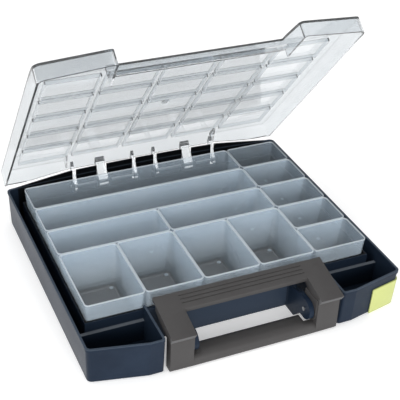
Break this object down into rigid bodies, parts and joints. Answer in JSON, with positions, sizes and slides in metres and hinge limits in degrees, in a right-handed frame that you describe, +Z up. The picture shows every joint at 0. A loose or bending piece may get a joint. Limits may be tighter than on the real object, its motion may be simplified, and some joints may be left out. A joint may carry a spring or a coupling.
{
  "type": "assortment case",
  "caption": "Shallow carry case with a clear hinged lid, a folding latch handle and lift-out boxes of several sizes in a dark tray.",
  "frame": {"origin": "middle of the case's flat underside, midway between the side walls", "axes": "+X to the right seen from the handle, +Y to the hinge at the rear, +Z up"},
  "size_m": [0.3005, 0.2942, 0.2464],
  "materials": {
    "tray": "fine moulded",
    "clear_lid": "clear with light haze",
    "handle": "satin",
    "frosted_box": "frosted translucent",
    "clip": "satin",
    "steel": "drawn wire"
  },
  "bodies": {
    "case": {"base_tray": "tray", "marker_clip": "clip", "hinge_rod_left": "steel", "hinge_rod_right": "steel", "pivot_pin_left": "steel", "pivot_pin_right": "steel"},
    "lid_body": {"lid": "clear_lid"},
    "handle_body": {"handle": "handle"},
    "insert_long_rear_body": {"insert_long_rear": "frosted_box"},
    "insert_long_second_body": {"insert_long_second": "frosted_box"},
    "insert_double_left_body": {"insert_double_left": "frosted_box"},
    "insert_double_right_body": {"insert_double_right": "frosted_box"},
    "insert_deep_a_body": {"insert_deep_a": "frosted_box"},
    "insert_deep_b_body": {"insert_deep_b": "frosted_box"},
    "insert_deep_c_body": {"insert_deep_c": "frosted_box"},
    "insert_deep_d_body": {"insert_deep_d": "frosted_box"},
    "insert_small_a_body": {"insert_small_a": "frosted_box"},
    "insert_small_b_body": {"insert_small_b": "frosted_box"},
    "insert_small_c_body": {"insert_small_c": "frosted_box"},
    "insert_small_d_body": {"insert_small_d": "frosted_box"},
    "insert_small_e_body": {"insert_small_e": "frosted_box"}
  },
  "joints": [
    {"name": "lid_hinge", "type": "hinge", "parent": "case", "child": "lid_body", "pos_m": [0, 0.131, 0.027], "axis": [-1, 0, 0], "range_deg": [-50.5, 59.5]},
    {"name": "handle_pivot", "type": "hinge", "parent": "case", "child": "handle_body", "pos_m": [0, -0.124, 0.021], "axis": [1, 0, 0], "range_deg": [0, 34]},
    {"name": "lift_long_rear", "type": "slide", "parent": "case", "child": "insert_long_rear_body", "axis": [0, 0, 1], "range_m": [0, 0.032]},
    {"name": "lift_long_second", "type": "slide", "parent": "case", "child": "insert_long_second_body", "axis": [0, 0, 1], "range_m": [0, 0.06]},
    {"name": "lift_double_left", "type": "slide", "parent": "case", "child": "insert_double_left_body", "axis": [0, 0, 1], "range_m": [0, 0.06]},
    {"name": "lift_double_right", "type": "slide", "parent": "case", "child": "insert_double_right_body", "axis": [0, 0, 1], "range_m": [0, 0.06]},
    {"name": "lift_deep_a", "type": "slide", "parent": "case", "child": "insert_deep_a_body", "axis": [0, 0, 1], "range_m": [0, 0.06]},
    {"name": "lift_deep_b", "type": "slide", "parent": "case", "child": "insert_deep_b_body", "axis": [0, 0, 1], "range_m": [0, 0.06]},
    {"name": "lift_deep_c", "type": "slide", "parent": "case", "child": "insert_deep_c_body", "axis": [0, 0, 1], "range_m": [0, 0.06]},
    {"name": "lift_deep_d", "type": "slide", "parent": "case", "child": "insert_deep_d_body", "axis": [0, 0, 1], "range_m": [0, 0.06]},
    {"name": "lift_small_a", "type": "slide", "parent": "case", "child": "insert_small_a_body", "axis": [0, 0, 1], "range_m": [0, 0.032]},
    {"name": "lift_small_b", "type": "slide", "parent": "case", "child": "insert_small_b_body", "axis": [0, 0, 1], "range_m": [0, 0.06]},
    {"name": "lift_small_c", "type": "slide", "parent": "case", "child": "insert_small_c_body", "axis": [0, 0, 1], "range_m": [0, 0.06]},
    {"name": "lift_small_d", "type": "slide", "parent": "case", "child": "insert_small_d_body", "axis": [0, 0, 1], "range_m": [0, 0.06]},
    {"name": "lift_small_e", "type": "slide", "parent": "case", "child": "insert_small_e_body", "axis": [0, 0, 1], "range_m": [0, 0.06]}
  ]
}
